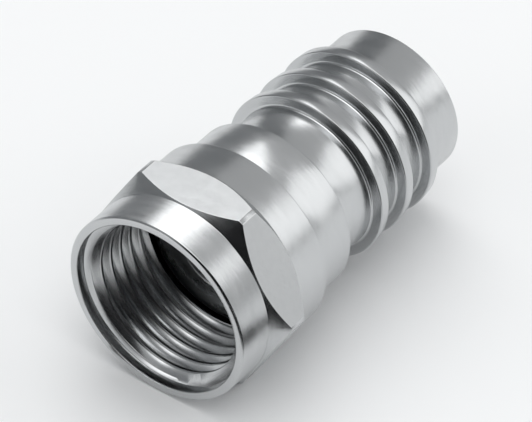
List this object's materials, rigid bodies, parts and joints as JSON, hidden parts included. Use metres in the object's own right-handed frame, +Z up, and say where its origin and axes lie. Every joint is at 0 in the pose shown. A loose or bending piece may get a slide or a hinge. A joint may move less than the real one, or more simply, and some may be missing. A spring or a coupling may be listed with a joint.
{
  "type": "f-type coaxial cable connector",
  "caption": "Crimp-on coaxial plug with a captive hexagon nut, a hollow flanged post and a ribbed sleeve, in bright nickel plate.",
  "frame": {"origin": "under the middle of the plug's length, on the surface that it lies on", "axes": "+Y along the plug's axis, from the open mouth of the nut to the cable end; +Z up, square to the flat of the nut that it lies on; +X across the corners of the nut"},
  "size_m": [0.0126, 0.02, 0.011],
  "materials": {
    "nut_plating": "bright nickel plate with turning marks",
    "post_plating": "nickel plate",
    "sleeve_plating": "bright nickel plate with turning marks"
  },
  "bodies": {
    "plug_body": {"crimp_sleeve": "sleeve_plating", "post": "post_plating"},
    "nut": {"coupling_nut": "nut_plating"}
  },
  "joints": [
    {"name": "nut_spin", "type": "hinge", "parent": "plug_body", "child": "nut", "pos_m": [0, 0, 0.0055], "axis": [0, 1, 0], "continuous": true}
  ]
}
